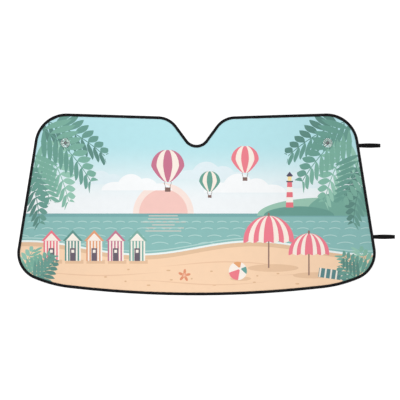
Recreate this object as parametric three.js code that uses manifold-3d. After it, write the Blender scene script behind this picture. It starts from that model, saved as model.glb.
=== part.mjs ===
// A windscreen sunshade: a printed sheet with a taped edge, two elastic loops that hold it once it is
// folded away, and two suction cups. It lies print side up, as it comes to rest on a flat surface.
// Millimetres, +Z up. Seen with the print upright, +X is to the right and +Y towards the mirror notch.
import * as THREE from "three";
import { mergeVertices } from "three/addons/utils/BufferGeometryUtils.js";
import Module from "manifold-3d";

const wasm = await Module();
wasm.setup();

// Outline: the corners of half of it before rounding, from the middle of the bottom edge, and their radii
const BOTTOM_MIDDLE_Y = -21.8;
const BOTTOM_BOW_RADIUS = 4050;
const BOTTOM_TURN_X = 525.5;
const BOTTOM_TURN_Y = 31.7;
const BOTTOM_TURN_RADIUS = 473;
const LOWER_CORNER_X = 663.4;
const LOWER_CORNER_Y = 90;
const LOWER_CORNER_RADIUS = 100;
const UPPER_CORNER_X = 572.4;
const UPPER_CORNER_Y = 662.8;
const UPPER_CORNER_RADIUS = 117;
const NOTCH_SHOULDER_X = 96;
const NOTCH_SHOULDER_Y = 647.3;
const NOTCH_SHOULDER_RADIUS = 86;
const NOTCH_FOOT_Y = 517;
const NOTCH_FOOT_RADIUS = 41;

// Fineness: how far a chord may lie from its arc, and the steps of smaller curves
const CHORD_ERROR = 0.2;
const SHEET_FACETS = 33;
const FIELD_COLUMNS = 48;
const DISC_STEPS = 16;
const CUP_SIDES = 32;
const CUP_CURVE_STEPS = 5;
const LOOP_STATIONS = 12;
const LOOP_TIP_STEPS = 8;

// Sheet, and the tape folded over its edge
const SHEET_THICKNESS = 2.5;
const TAPE_THICKNESS = 0.6;
const TAPE_WIDTH = 10.5;
const CLEARANCE = 0.3;

// Curl left in the sheet: how far its middle stands off the surface that its sides lie on
const CROWN_RISE = 30;

// Elastic loops on the right side, lying on the surface, with their ends caught under the tape
const UPPER_LOOP_Y = 543;
const LOWER_LOOP_Y = 211;
const LOOP_REACH = 78;
const LOOP_TAIL = 10;
const LOOP_TAIL_GAP = 0.3;
const LOOP_TIP_GAP = 2.6;
const LOOP_BOW = 1.5;
const ELASTIC_WIDTH = 13.5;
const ELASTIC_THICKNESS = 1.1;

// Suction cups, pushed through holes in the sheet, each one this far in from the side edge
const CUP_FROM_SIDE = 114;
const CUP_Y = 552;
const CUP_RADIUS = 17;
const CUP_LIP = 1.6;
const CUP_HEIGHT = 8;
const CUP_FLOOR = 4.2;
const CUP_RIM_THICKNESS = 0.8;
const CUP_SHOULDER_RADIUS = 6.5;
const CUP_SHOULDER_HEIGHT = 1.5;
const CUP_NECK_RADIUS = 3.6;
const CUP_HEAD_RADIUS = 6;
const CUP_HEAD_HEIGHT = 3.2;

// Print: plain fields of ink, each a hair lower than the one before
const INK_STEP = 0.04;
const HAZE_TOP_Y = 395;
const HORIZON_Y = 296;
const SUN_X = -120;
const SUN_RADIUS = 88;
const SHORE_Y = 168;
const SHORE_SWAY = 24;
const SHORE_WAVE_LENGTH = 820;
const PARASOLS = [
  { x: 262, y: 196, radius: 92 },
  { x: 408, y: 150, radius: 74 },
];

const SHEET_UNDERSIDE = TAPE_THICKNESS + CLEARANCE;
const SHEET_FRONT = SHEET_UNDERSIDE + SHEET_THICKNESS;
const TAPED_THICKNESS = SHEET_FRONT + CLEARANCE + TAPE_THICKNESS;
const LOOP_STACK = 2 * ELASTIC_THICKNESS + LOOP_TAIL_GAP + CLEARANCE;

// Materials
function material(color, roughness, metalness = 0) {
  return new THREE.MeshStandardMaterial({ color, roughness, metalness });
}

const SKY_INK = material(0xb4e2e8, 0.55);
const HAZE_INK = material(0xf2f7f8, 0.55);
const SEA_INK = material(0x7fbdb6, 0.55);
const SUN_INK = material(0xf7c9c0, 0.55);
const SAND_INK = material(0xf8d3b0, 0.55);
const PARASOL_INK = material(0xf27f90, 0.55);
const SILVER_FILM = material(0xc4c8cb, 0.35, 0.6);
const TAPE_CLOTH = material(0x1c1c1f, 0.75);
const ELASTIC_CLOTH = material(0x17171a, 0.8);
const CLEAR_VINYL = material(0xe8eef0, 0.1);
CLEAR_VINYL.transparent = true;
CLEAR_VINYL.opacity = 0.45;

// Solids: a closed geometry as a solid that can be cut and joined, and back
function solidOf(geometry, matrix = new THREE.Matrix4()) {
  const bare = new THREE.BufferGeometry();
  const source = geometry.index ? geometry.toNonIndexed() : geometry;
  bare.setAttribute("position", source.getAttribute("position").clone());
  bare.applyMatrix4(matrix);
  const merged = mergeVertices(bare);
  const mesh = new wasm.Mesh({
    numProp: 3,
    vertProperties: merged.getAttribute("position").array,
    triVerts: new Uint32Array(merged.index.array),
  });
  return new wasm.Manifold(mesh);
}

function geometryOf(solid) {
  const mesh = solid.getMesh();
  const geometry = new THREE.BufferGeometry();
  geometry.setAttribute("position", new THREE.BufferAttribute(mesh.vertProperties, 3));
  geometry.setIndex(new THREE.BufferAttribute(mesh.triVerts, 1));
  return geometry;
}

// Outline: a polygon with rounded corners, anticlockwise from the middle of the bottom edge
function outlineCorners() {
  const rightSide = [
    { x: BOTTOM_TURN_X, y: BOTTOM_TURN_Y, radius: BOTTOM_TURN_RADIUS },
    { x: LOWER_CORNER_X, y: LOWER_CORNER_Y, radius: LOWER_CORNER_RADIUS },
    { x: UPPER_CORNER_X, y: UPPER_CORNER_Y, radius: UPPER_CORNER_RADIUS },
    { x: NOTCH_SHOULDER_X, y: NOTCH_SHOULDER_Y, radius: NOTCH_SHOULDER_RADIUS },
  ];
  const leftSide = rightSide.map((corner) => ({ ...corner, x: -corner.x })).reverse();
  const bottomMiddle = { x: 0, y: BOTTOM_MIDDLE_Y, radius: BOTTOM_BOW_RADIUS };
  const notchFoot = { x: 0, y: NOTCH_FOOT_Y, radius: NOTCH_FOOT_RADIUS };
  return [bottomMiddle, ...rightSide, notchFoot, ...leftSide];
}

// The rounding of one corner: how far it turns, and how much of both sides its arc takes up
function rounding({ x, y, radius }, before, after) {
  const arriving = new THREE.Vector2(x - before.x, y - before.y);
  const leaving = new THREE.Vector2(after.x - x, after.y - y);
  const side = Math.sign(arriving.cross(leaving));
  const turn = side * arriving.angleTo(leaving);
  const taken = radius * Math.tan(Math.abs(turn) / 2);
  return { corner: new THREE.Vector2(x, y), arriving, leaving, side, turn, taken };
}

// The rounded outline moved inwards by an inset, whose arcs keep their centres. Where two arcs would
// meet on a side, both shrink to share it
function outlinePoints(inset) {
  const corners = outlineCorners();
  const after = (list, index) => list[(index + 1) % list.length];
  const roundings = corners.map((corner, index) =>
    rounding(corner, corners.at(index - 1), after(corners, index)),
  );
  const points = [];
  roundings.forEach(({ corner, arriving, leaving, side, turn, taken }, index) => {
    const shareBefore = arriving.length() / (roundings.at(index - 1).taken + taken);
    const shareAfter = leaving.length() / (after(roundings, index).taken + taken);
    const radius = (taken * Math.min(1, shareBefore, shareAfter)) / Math.tan(Math.abs(turn) / 2);
    const inwards = leaving.clone().normalize().sub(arriving.clone().normalize()).normalize();
    const centre = corner.clone().addScaledVector(inwards, radius / Math.cos(turn / 2));
    const start = Math.atan2(-arriving.x * side, arriving.y * side);
    const steps = Math.ceil(Math.abs(turn) / (2 * Math.acos(1 - CHORD_ERROR / radius)));
    for (let step = 0; step <= steps; step += 1) {
      const angle = start + (turn * step) / steps;
      const point = new THREE.Vector2(Math.cos(angle), Math.sin(angle));
      points.push(point.multiplyScalar(radius - side * inset).add(centre));
    }
  });
  return points;
}

// An upright prism that reaches far above and below the sheet
function prism(points) {
  const depth = UPPER_CORNER_Y;
  const geometry = new THREE.ExtrudeGeometry(new THREE.Shape(points), { depth, bevelEnabled: false });
  geometry.translate(0, 0, -depth / 2);
  return solidOf(geometry);
}

// Sheet surface: a flat cone that meets the ground along the straight side edges of the outline. The
// right side also climbs by what lies under it: both legs of the loops
function halfWidthAt(y) {
  const share = (y - LOWER_CORNER_Y) / (UPPER_CORNER_Y - LOWER_CORNER_Y);
  return LOWER_CORNER_X + share * (UPPER_CORNER_X - LOWER_CORNER_X);
}

function rightEdgeAt(y) {
  const outline = outlinePoints(0);
  const crossings = outline.map((point, index) => {
    const next = outline[(index + 1) % outline.length];
    const share = (y - point.y) / (next.y - point.y);
    return share >= 0 && share <= 1 ? point.x + share * (next.x - point.x) : 0;
  });
  return Math.max(...crossings);
}

const SIDE_SLOPE = LOOP_STACK / (rightEdgeAt(UPPER_LOOP_Y) + LOWER_CORNER_X);

function sheetLift(x, y) {
  const halfWidth = halfWidthAt(y);
  const crown = (CROWN_RISE * halfWidth) / LOWER_CORNER_X;
  return crown * (1 - (x / halfWidth) ** 2) + SIDE_SLOPE * (x + LOWER_CORNER_X);
}

function sheetNormal(x, y) {
  const step = 1;
  const slopeX = (sheetLift(x + step, y) - sheetLift(x - step, y)) / (2 * step);
  const slopeY = (sheetLift(x, y + step) - sheetLift(x, y - step)) / (2 * step);
  return new THREE.Vector3(-slopeX, -slopeY, 1).normalize();
}

// A slab that follows the sheet, between two heights above the tape's underside
function slab(low, high) {
  const margin = TAPE_WIDTH;
  const reach = 1 + margin / LOWER_CORNER_X;
  const length = Math.max(UPPER_CORNER_Y, NOTCH_SHOULDER_Y) - BOTTOM_MIDDLE_Y + 2 * margin;
  const geometry = new THREE.BoxGeometry(2 * reach, length, high - low, SHEET_FACETS, 1, 1);
  geometry.translate(0, BOTTOM_MIDDLE_Y - margin + length / 2, (low + high) / 2);
  const place = geometry.getAttribute("position");
  for (let index = 0; index < place.count; index += 1) {
    const y = place.getY(index);
    const x = place.getX(index) * halfWidthAt(y);
    place.setXYZ(index, x, y, place.getZ(index) + sheetLift(x, y));
  }
  return solidOf(geometry);
}

// Suction cups: turned in one piece, with the sheet's front at height 0 on the cup's own axis
const CUP_X = halfWidthAt(CUP_Y) - CUP_FROM_SIDE;

function curveThrough(start, pull, end) {
  return new THREE.QuadraticBezierCurve(
    new THREE.Vector2(...start),
    new THREE.Vector2(...pull),
    new THREE.Vector2(...end),
  ).getPoints(CUP_CURVE_STEPS);
}

function cupGeometry() {
  const headTop = -SHEET_THICKNESS - CLEARANCE;
  const headBottom = headTop - CUP_HEAD_HEIGHT;
  const headEdge = headTop - CUP_HEAD_HEIGHT / 3;
  const shoulderTop = CLEARANCE + CUP_SHOULDER_HEIGHT;
  const mouthRadius = CUP_RADIUS - CUP_LIP;
  const profile = [
    new THREE.Vector2(0, headBottom),
    ...curveThrough(
      [CUP_HEAD_RADIUS / 2, headBottom],
      [CUP_HEAD_RADIUS, headBottom],
      [CUP_HEAD_RADIUS, headEdge],
    ),
    new THREE.Vector2(CUP_HEAD_RADIUS, headTop),
    new THREE.Vector2(CUP_NECK_RADIUS, headTop),
    new THREE.Vector2(CUP_NECK_RADIUS, CLEARANCE),
    new THREE.Vector2(CUP_SHOULDER_RADIUS, CLEARANCE),
    ...curveThrough(
      [CUP_SHOULDER_RADIUS, shoulderTop],
      [(CUP_SHOULDER_RADIUS + CUP_RADIUS) / 2, shoulderTop],
      [CUP_RADIUS, CUP_HEIGHT - CUP_RIM_THICKNESS],
    ),
    new THREE.Vector2(CUP_RADIUS, CUP_HEIGHT),
    ...curveThrough([mouthRadius, CUP_HEIGHT], [mouthRadius / 2, CUP_FLOOR], [0, CUP_FLOOR]),
  ];
  const geometry = new THREE.LatheGeometry(profile, CUP_SIDES);
  geometry.rotateX(Math.PI / 2);
  return geometry;
}

function cupMatrix(x) {
  const seat = new THREE.Vector3(x, CUP_Y, SHEET_FRONT + sheetLift(x, CUP_Y));
  const up = new THREE.Vector3(0, 0, 1);
  const turn = new THREE.Quaternion().setFromUnitVectors(up, sheetNormal(x, CUP_Y));
  return new THREE.Matrix4().compose(seat, turn, new THREE.Vector3(1, 1, 1));
}

function suctionCup(name, x) {
  const mesh = new THREE.Mesh(cupGeometry(), CLEAR_VINYL);
  mesh.name = name;
  mesh.applyMatrix4(cupMatrix(x));
  return mesh;
}

function cupHole(x) {
  const radius = CUP_NECK_RADIUS + CLEARANCE;
  const geometry = new THREE.CylinderGeometry(radius, radius, 4 * SHEET_THICKNESS, CUP_SIDES);
  geometry.rotateX(Math.PI / 2);
  return solidOf(geometry, cupMatrix(x));
}

// Print: fields that reach down from a line, and half discs that stand on one
function fieldBelow(heightAt) {
  const reach = LOWER_CORNER_X + TAPE_WIDTH;
  const foot = BOTTOM_MIDDLE_Y - TAPE_WIDTH;
  const points = [new THREE.Vector2(-reach, foot), new THREE.Vector2(reach, foot)];
  for (let column = 0; column <= FIELD_COLUMNS; column += 1) {
    const x = reach - (2 * reach * column) / FIELD_COLUMNS;
    points.push(new THREE.Vector2(x, heightAt(x)));
  }
  return points;
}

function halfDisc(x, y, radius) {
  return new THREE.Path().absarc(x, y, radius, 0, Math.PI, false).getPoints(DISC_STEPS);
}

function shoreAt(x) {
  return SHORE_Y + SHORE_SWAY * Math.sin((2 * Math.PI * x) / SHORE_WAVE_LENGTH);
}

const FIELDS = [
  { ink: HAZE_INK, outline: fieldBelow(() => HAZE_TOP_Y) },
  { ink: SEA_INK, outline: fieldBelow(() => HORIZON_Y) },
  { ink: SUN_INK, outline: halfDisc(SUN_X, HORIZON_Y, SUN_RADIUS) },
  { ink: SAND_INK, outline: fieldBelow(shoreAt) },
  ...PARASOLS.map(({ x, y, radius }) => ({ ink: PARASOL_INK, outline: halfDisc(x, y, radius) })),
];

function isInside(outline, x, y) {
  const crossed = outline.filter((point, index) => {
    const next = outline[(index + 1) % outline.length];
    const spans = point.y > y !== next.y > y;
    return spans && x < point.x + ((y - point.y) * (next.x - point.x)) / (next.y - point.y);
  });
  return crossed.length % 2 === 1;
}

// Which material a face of the sheet shows: an ink on the front, and bare film behind and at the edges
function sheetMaterialOf(centre, normal) {
  if (normal.z < 0.5) return SILVER_FILM;
  const field = FIELDS.findLast(({ outline }) => isInside(outline, centre.x, centre.y));
  return field ? field.ink : SKY_INK;
}

function shadePanel() {
  const outline = prism(outlinePoints(TAPE_THICKNESS + CLEARANCE));
  let solid = slab(SHEET_UNDERSIDE, SHEET_FRONT).intersect(outline);
  FIELDS.forEach(({ outline }, index) => {
    const depth = (index + 1) * INK_STEP;
    const aboveInk = slab(SHEET_FRONT - depth, SHEET_FRONT + SHEET_THICKNESS);
    solid = solid.subtract(aboveInk.intersect(prism(outline)));
  });
  solid = solid.subtract(cupHole(-CUP_X)).subtract(cupHole(CUP_X));

  const loose = geometryOf(solid).toNonIndexed();
  const place = loose.getAttribute("position");
  const inks = [SKY_INK, SILVER_FILM, ...new Set(FIELDS.map(({ ink }) => ink))];
  const faces = inks.map(() => []);
  for (let first = 0; first < place.count; first += 3) {
    const corners = [0, 1, 2].map((step) => new THREE.Vector3().fromBufferAttribute(place, first + step));
    const triangle = new THREE.Triangle(...corners);
    const centre = triangle.getMidpoint(new THREE.Vector3());
    const normal = triangle.getNormal(new THREE.Vector3());
    faces[inks.indexOf(sheetMaterialOf(centre, normal))].push(...corners);
  }
  const geometry = new THREE.BufferGeometry().setFromPoints(faces.flat());
  let start = 0;
  faces.forEach((points, index) => {
    geometry.addGroup(start, points.length, index);
    start += points.length;
  });
  geometry.computeVertexNormals();
  const mesh = new THREE.Mesh(geometry, inks);
  mesh.name = "shade_panel";
  return mesh;
}

// Binding: one tape folded over the sheet's edge all the way round
function edgeBinding() {
  const rim = prism(outlinePoints(0)).subtract(prism(outlinePoints(TAPE_WIDTH)));
  const pocket = slab(TAPE_THICKNESS, TAPED_THICKNESS - TAPE_THICKNESS);
  const fold = pocket.intersect(prism(outlinePoints(TAPE_THICKNESS)));
  const tape = slab(0, TAPED_THICKNESS).intersect(rim).subtract(fold);
  const mesh = new THREE.Mesh(geometryOf(tape), TAPE_CLOTH);
  mesh.name = "edge_binding";
  return mesh;
}

// Elastic loops: a flat band doubled back on itself, its legs parting a little towards the tip
function elasticLoop(name, y) {
  const tipRadius = ELASTIC_THICKNESS + LOOP_TIP_GAP / 2;
  const tipCentre = LOOP_REACH - tipRadius;
  const along = Array.from({ length: LOOP_STATIONS + 1 }, (_, index) => (tipCentre * index) / LOOP_STATIONS);
  const gapAt = (x) => {
    const share = THREE.MathUtils.smoothstep(x, 0, tipCentre);
    return THREE.MathUtils.lerp(LOOP_TAIL_GAP, LOOP_TIP_GAP, share);
  };
  const tip = (radius, share) => {
    const angle = Math.PI * (share - 0.5);
    return new THREE.Vector2(tipCentre + radius * Math.cos(angle), tipRadius + radius * Math.sin(angle));
  };
  const tipShares = Array.from({ length: LOOP_TIP_STEPS - 1 }, (_, index) => (index + 1) / LOOP_TIP_STEPS);
  const legs = [-LOOP_TAIL, ...along];
  const outside = [
    ...legs.map((x) => new THREE.Vector2(x, 0)),
    ...tipShares.map((share) => tip(tipRadius, share)),
    ...legs.map((x) => new THREE.Vector2(x, 2 * ELASTIC_THICKNESS + gapAt(x))).reverse(),
  ];
  const inside = [
    ...legs.map((x) => new THREE.Vector2(x, ELASTIC_THICKNESS + gapAt(x))),
    ...tipShares.map((share) => tip(LOOP_TIP_GAP / 2, 1 - share)),
    ...legs.map((x) => new THREE.Vector2(x, ELASTIC_THICKNESS)).reverse(),
  ];
  const shape = new THREE.Shape([...outside, ...inside]);
  const geometry = new THREE.ExtrudeGeometry(shape, { depth: ELASTIC_WIDTH, bevelEnabled: false });
  geometry.translate(0, 0, -ELASTIC_WIDTH / 2);
  geometry.rotateX(Math.PI / 2);

  const place = geometry.getAttribute("position");
  for (let index = 0; index < place.count; index += 1) {
    const x = place.getX(index);
    const isUpperLeg = place.getZ(index) > ELASTIC_THICKNESS + gapAt(x) / 2;
    const bow = LOOP_BOW * Math.sin(Math.PI * THREE.MathUtils.clamp(x / tipCentre, 0, 1));
    place.setY(index, place.getY(index) + (isUpperLeg ? bow : -bow));
  }
  geometry.computeVertexNormals();
  const mesh = new THREE.Mesh(geometry, ELASTIC_CLOTH);
  mesh.name = name;
  mesh.position.set(rightEdgeAt(y), y, 0);
  return mesh;
}

const sunshade = new THREE.Group();
sunshade.add(
  shadePanel(),
  edgeBinding(),
  elasticLoop("elastic_loop_upper", UPPER_LOOP_Y),
  elasticLoop("elastic_loop_lower", LOWER_LOOP_Y),
  suctionCup("suction_cup_left", -CUP_X),
  suctionCup("suction_cup_right", CUP_X),
);

// The origin is the middle of the sunshade's footprint, on the surface that it lies on
const bounds = new THREE.Box3().setFromObject(sunshade, true);
const middle = bounds.getCenter(new THREE.Vector3());
sunshade.position.set(-middle.x, -middle.y, -bounds.min.z);

export default sunshade;
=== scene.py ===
# A windscreen sunshade lying print side up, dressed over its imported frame. The frame is in metres, +Z up:
# with the print upright, +X is to the right and +Y towards the mirror notch.
import math

import bmesh
import bpy
import numpy as np
from mathutils import Matrix, Vector, noise


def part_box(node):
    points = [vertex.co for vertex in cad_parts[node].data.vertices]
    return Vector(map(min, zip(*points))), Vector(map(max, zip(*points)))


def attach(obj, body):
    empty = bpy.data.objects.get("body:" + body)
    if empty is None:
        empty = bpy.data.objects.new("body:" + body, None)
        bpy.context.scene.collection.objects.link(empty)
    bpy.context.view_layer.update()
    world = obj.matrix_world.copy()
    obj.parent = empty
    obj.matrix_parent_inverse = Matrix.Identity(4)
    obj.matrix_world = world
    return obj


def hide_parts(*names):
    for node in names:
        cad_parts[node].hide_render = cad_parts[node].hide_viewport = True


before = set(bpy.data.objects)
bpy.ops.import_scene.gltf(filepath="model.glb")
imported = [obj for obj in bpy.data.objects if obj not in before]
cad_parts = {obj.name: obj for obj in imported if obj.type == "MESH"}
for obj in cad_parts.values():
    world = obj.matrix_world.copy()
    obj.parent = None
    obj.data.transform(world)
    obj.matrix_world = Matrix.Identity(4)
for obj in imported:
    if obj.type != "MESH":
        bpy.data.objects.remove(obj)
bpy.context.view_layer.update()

# Camera: straight above the sunshade, at the distance from which a long lens takes in the width that
# the photograph shows.
PICTURE_MIDDLE = (-0.0221, 0.0158)
PICTURE_WIDTH = 1.453
SHEET_LEVEL = 0.015
LENS_MM = 180

camera_lens = bpy.data.cameras.new("camera")
camera_lens.lens = LENS_MM
camera = bpy.data.objects.new("camera", camera_lens)
bpy.context.scene.collection.objects.link(camera)
camera_distance = PICTURE_WIDTH * LENS_MM / camera_lens.sensor_width
camera.location = (*PICTURE_MIDDLE, SHEET_LEVEL + camera_distance)
bpy.context.scene.camera = camera

# Printed sheet: foam between a printed film and a bare silver one, cut to the shape of the windscreen.
# It lies on its side edges with a gentle curl, and the tape presses it thinner along its edge.
# Sizes are in millimetres, with x from the sheet's middle and y from the line of its lower edge.
MM = 0.001
OUTLINE_CORNERS = [  # x, y and radius of each corner of the right half, before it is rounded
    (0, -21.8, 4050),
    (525.5, 31.7, 473),
    (663.4, 90, 100),
    (572.4, 662.8, 117),
    (96, 647.3, 86),
    (0, 517, 41),
]
LOWER_CORNER = Vector(OUTLINE_CORNERS[2][:2])
UPPER_CORNER = Vector(OUTLINE_CORNERS[3][:2])
ARC_STEP = math.radians(0.5)

SHEET_THICKNESS = 2.5
TAPE_THICKNESS = 0.6
TAPE_WIDTH = 10.5
CLEARANCE = 0.3
SHEET_FRONT = TAPE_THICKNESS + CLEARANCE + SHEET_THICKNESS
TAPED_THICKNESS = SHEET_FRONT + CLEARANCE + TAPE_THICKNESS
CROWN_RISE = 30
LOOP_STACK = 2.8  # both legs of an elastic loop, which the sheet's right side lies on
UPPER_LOOP_Y = 543
SHEET_EDGE_STEP = 5
SHEET_GRID = 7
SHEET_PINCH = 0.55
PINCH_REACH = 6
RIPPLE = 0.3
RIPPLE_FROM_EDGE = 60

CUP_FROM_SIDE = 114
CUP_Y = 552
CUP_NECK_RADIUS = 3.6
CUP_SIDES = 48


def outline_path(spacing):
    """Points that far apart along the sunshade's rounded outline, and the outward direction at each."""
    corners = [(Vector((x, y)), radius) for x, y, radius in OUTLINE_CORNERS]
    corners += [(Vector((-x, y)), radius) for x, y, radius in OUTLINE_CORNERS[-2:0:-1]]
    roundings = []
    for index, (corner, radius) in enumerate(corners):
        arriving = corner - corners[index - 1][0]
        leaving = corners[(index + 1) % len(corners)][0] - corner
        side = math.copysign(1, arriving.cross(leaving))
        turn = side * arriving.angle(leaving)
        roundings.append((corner, arriving, leaving, side, turn, radius * math.tan(abs(turn) / 2)))
    points = []
    for index, (corner, arriving, leaving, side, turn, taken) in enumerate(roundings):
        share_before = arriving.length / (roundings[index - 1][5] + taken)
        share_after = leaving.length / (roundings[(index + 1) % len(roundings)][5] + taken)
        radius = taken * min(1, share_before, share_after) / math.tan(abs(turn) / 2)
        inwards = (leaving.normalized() - arriving.normalized()).normalized()
        centre = corner + inwards * (radius / math.cos(turn / 2))
        start = math.atan2(-arriving.x * side, arriving.y * side)
        steps = math.ceil(abs(turn) / ARC_STEP)
        for step in range(steps + 1):
            angle = start + turn * step / steps
            points.append((centre.x + radius * math.cos(angle), centre.y + radius * math.sin(angle)))
    loop = np.array(points + points[:1])
    travelled = np.concatenate([[0], np.cumsum(np.linalg.norm(np.diff(loop, axis=0), axis=1))])
    count = round(travelled[-1] / spacing)
    stops = np.arange(count) * travelled[-1] / count
    path = np.stack([np.interp(stops, travelled, loop[:, axis]) for axis in (0, 1)], axis=1)
    forward = np.roll(path, -1, axis=0) - np.roll(path, 1, axis=0)
    forward /= np.linalg.norm(forward, axis=1)[:, None]
    return path, np.stack([forward[:, 1], -forward[:, 0]], axis=1)


binding_low, binding_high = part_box("edge_binding")
fine_path = outline_path(1)[0]
PANEL_MIDDLE = (binding_low.x + binding_high.x) / 2
PANEL_FOOT = binding_low.y - fine_path[:, 1].min() * MM
beside_loop = np.abs(fine_path[:, 1] - UPPER_LOOP_Y) < 1
SIDE_SLOPE = LOOP_STACK / (fine_path[beside_loop, 0].max() + LOWER_CORNER.x)


def half_width_at(y):
    """Half the sunshade's width at that height, between the unrounded corners of its straight side."""
    share = (y - LOWER_CORNER.y) / (UPPER_CORNER.y - LOWER_CORNER.y)
    return LOWER_CORNER.x + share * (UPPER_CORNER.x - LOWER_CORNER.x)


CUP_X = half_width_at(CUP_Y) - CUP_FROM_SIDE


def sheet_lift(x, y):
    """How far the curled sheet stands above the ground there. Its right side lies on the loops' legs."""
    half_width = half_width_at(y)
    crown = CROWN_RISE * half_width / LOWER_CORNER.x
    return crown * (1 - (x / half_width) ** 2) + SIDE_SLOPE * (x + LOWER_CORNER.x)


def in_frame(points):
    """Points of the sheet's own millimetres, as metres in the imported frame."""
    placed = np.array(points, dtype=float) * MM
    placed[..., 0] += PANEL_MIDDLE
    placed[..., 1] += PANEL_FOOT
    return placed


def new_piece(name, points, faces):
    """A mesh object with those points in the sheet's millimetres."""
    mesh = bpy.data.meshes.new(name)
    mesh.from_pydata(in_frame(points).tolist(), [], faces)
    piece = bpy.data.objects.new(name, mesh)
    bpy.context.scene.collection.objects.link(piece)
    return piece


def work_on(piece):
    """Selects that piece alone."""
    bpy.ops.object.select_all(action="DESELECT")
    piece.select_set(True)
    bpy.context.view_layer.objects.active = piece


def smooth(piece, sharpest):
    work_on(piece)
    bpy.ops.object.shade_smooth_by_angle(angle=math.radians(sharpest))


def wandering_waves(along, across, length, sway, sway_length):
    """Waves that follow each other along one direction and wander as they go across it."""
    return np.sin(along / length + sway * np.sin(across / sway_length))


sheet_edge, sheet_outwards = outline_path(SHEET_EDGE_STEP)
sheet_edge = sheet_edge - sheet_outwards * (TAPE_THICKNESS + CLEARANCE)
cut = bmesh.new()
cut.faces.new([cut.verts.new((x, y, 0)) for x, y in sheet_edge])
for axis in (0, 1):
    low = sheet_edge[:, axis].min()
    lines = int((sheet_edge[:, axis].max() - low) / SHEET_GRID)
    facing = Vector((1, 0, 0)) if axis == 0 else Vector((0, 1, 0))
    for line in range(lines):
        everything = cut.verts[:] + cut.edges[:] + cut.faces[:]
        at = facing * (low + SHEET_GRID * (line + 0.6))
        bmesh.ops.bisect_plane(cut, geom=everything, dist=0.001, plane_co=at, plane_no=facing)
sheet_mesh = bpy.data.meshes.new("printed_sheet")
cut.to_mesh(sheet_mesh)
cut.free()

flat_points = np.array([point.co for point in sheet_mesh.vertices])[:, :2]
from_edge = np.array([np.linalg.norm(fine_path - point, axis=1).min() for point in flat_points])
pinch = SHEET_PINCH * np.exp(-((np.maximum(from_edge - TAPE_WIDTH, 0) / PINCH_REACH) ** 2))
x, y = flat_points[:, 0], flat_points[:, 1]
ripple = RIPPLE * wandering_waves(x, y, 61, 0.9, 83) * wandering_waves(y, x, 47, 0.6, 95)
front = SHEET_FRONT + sheet_lift(x, y) + ripple * (1 - np.exp(-from_edge / RIPPLE_FROM_EDGE))
placed = in_frame(np.stack([x, y, front], axis=1))
sheet_mesh.vertices.foreach_set("co", placed.ravel())
printed_sheet = bpy.data.objects.new("printed_sheet", sheet_mesh)
bpy.context.scene.collection.objects.link(printed_sheet)

work_on(printed_sheet)
wall = printed_sheet.modifiers.new("wall", "SOLIDIFY")
wall.thickness = SHEET_THICKNESS * MM
wall.offset = -1
wall.material_offset = 1
wall.material_offset_rim = 1
bpy.ops.object.modifier_apply(modifier="wall")
for number, depth in enumerate(pinch):
    sheet_mesh.vertices[number].co.z -= depth * MM


def cup_placement(x):
    """Puts a cup's own axis upright on the sheet's front there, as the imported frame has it."""
    step = 1
    slope_x = (sheet_lift(x + step, CUP_Y) - sheet_lift(x - step, CUP_Y)) / (2 * step)
    slope_y = (sheet_lift(x, CUP_Y + step) - sheet_lift(x, CUP_Y - step)) / (2 * step)
    turn = Vector((0, 0, 1)).rotation_difference(Vector((-slope_x, -slope_y, 1))).to_matrix().to_4x4()
    seat = in_frame((x, CUP_Y, SHEET_FRONT + sheet_lift(x, CUP_Y)))
    return Matrix.Translation(seat) @ turn


for cup_x in (-CUP_X, CUP_X):
    bpy.ops.object.select_all(action="DESELECT")
    bpy.ops.mesh.primitive_cylinder_add(
        vertices=CUP_SIDES,
        radius=(CUP_NECK_RADIUS + CLEARANCE) * MM,
        depth=4 * SHEET_THICKNESS * MM,
    )
    punch = bpy.context.object
    punch.data.transform(cup_placement(cup_x))
    work_on(printed_sheet)
    hole = printed_sheet.modifiers.new("hole", "BOOLEAN")
    hole.object = punch
    hole.operation = "DIFFERENCE"
    hole.solver = "EXACT"
    bpy.ops.object.modifier_apply(modifier="hole")
    bpy.data.objects.remove(punch)
smooth(printed_sheet, 30)

# Print: a seaside in flat inks, each one laid over those before it. Its shapes are in the sheet's
# millimetres, and its colours are the red, green and blue that a screen shows.


def new_finish(name):
    """A material, its nodes, its links and its surface shader."""
    material = bpy.data.materials.new(name)
    material.use_nodes = True
    nodes = material.node_tree.nodes
    return material, nodes, material.node_tree.links, nodes["Principled BSDF"]


print_material, print_nodes, print_links, print_surface = new_finish("printed_film")


def screen_colour(red, green, blue):
    """A colour of the screen in the linear values that a shader takes."""
    linear = [((level / 255 + 0.055) / 1.055) ** 2.4 for level in (red, green, blue)]
    return (*linear, 1)


def vector_node(operation, source, values=()):
    """An operation on the source, with those values in its other inputs."""
    node = print_nodes.new("ShaderNodeVectorMath")
    node.operation = operation
    print_links.new(source, node.inputs[0])
    for place, value in enumerate(values, start=1):
        node.inputs[place].default_value = value
    return node


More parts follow.
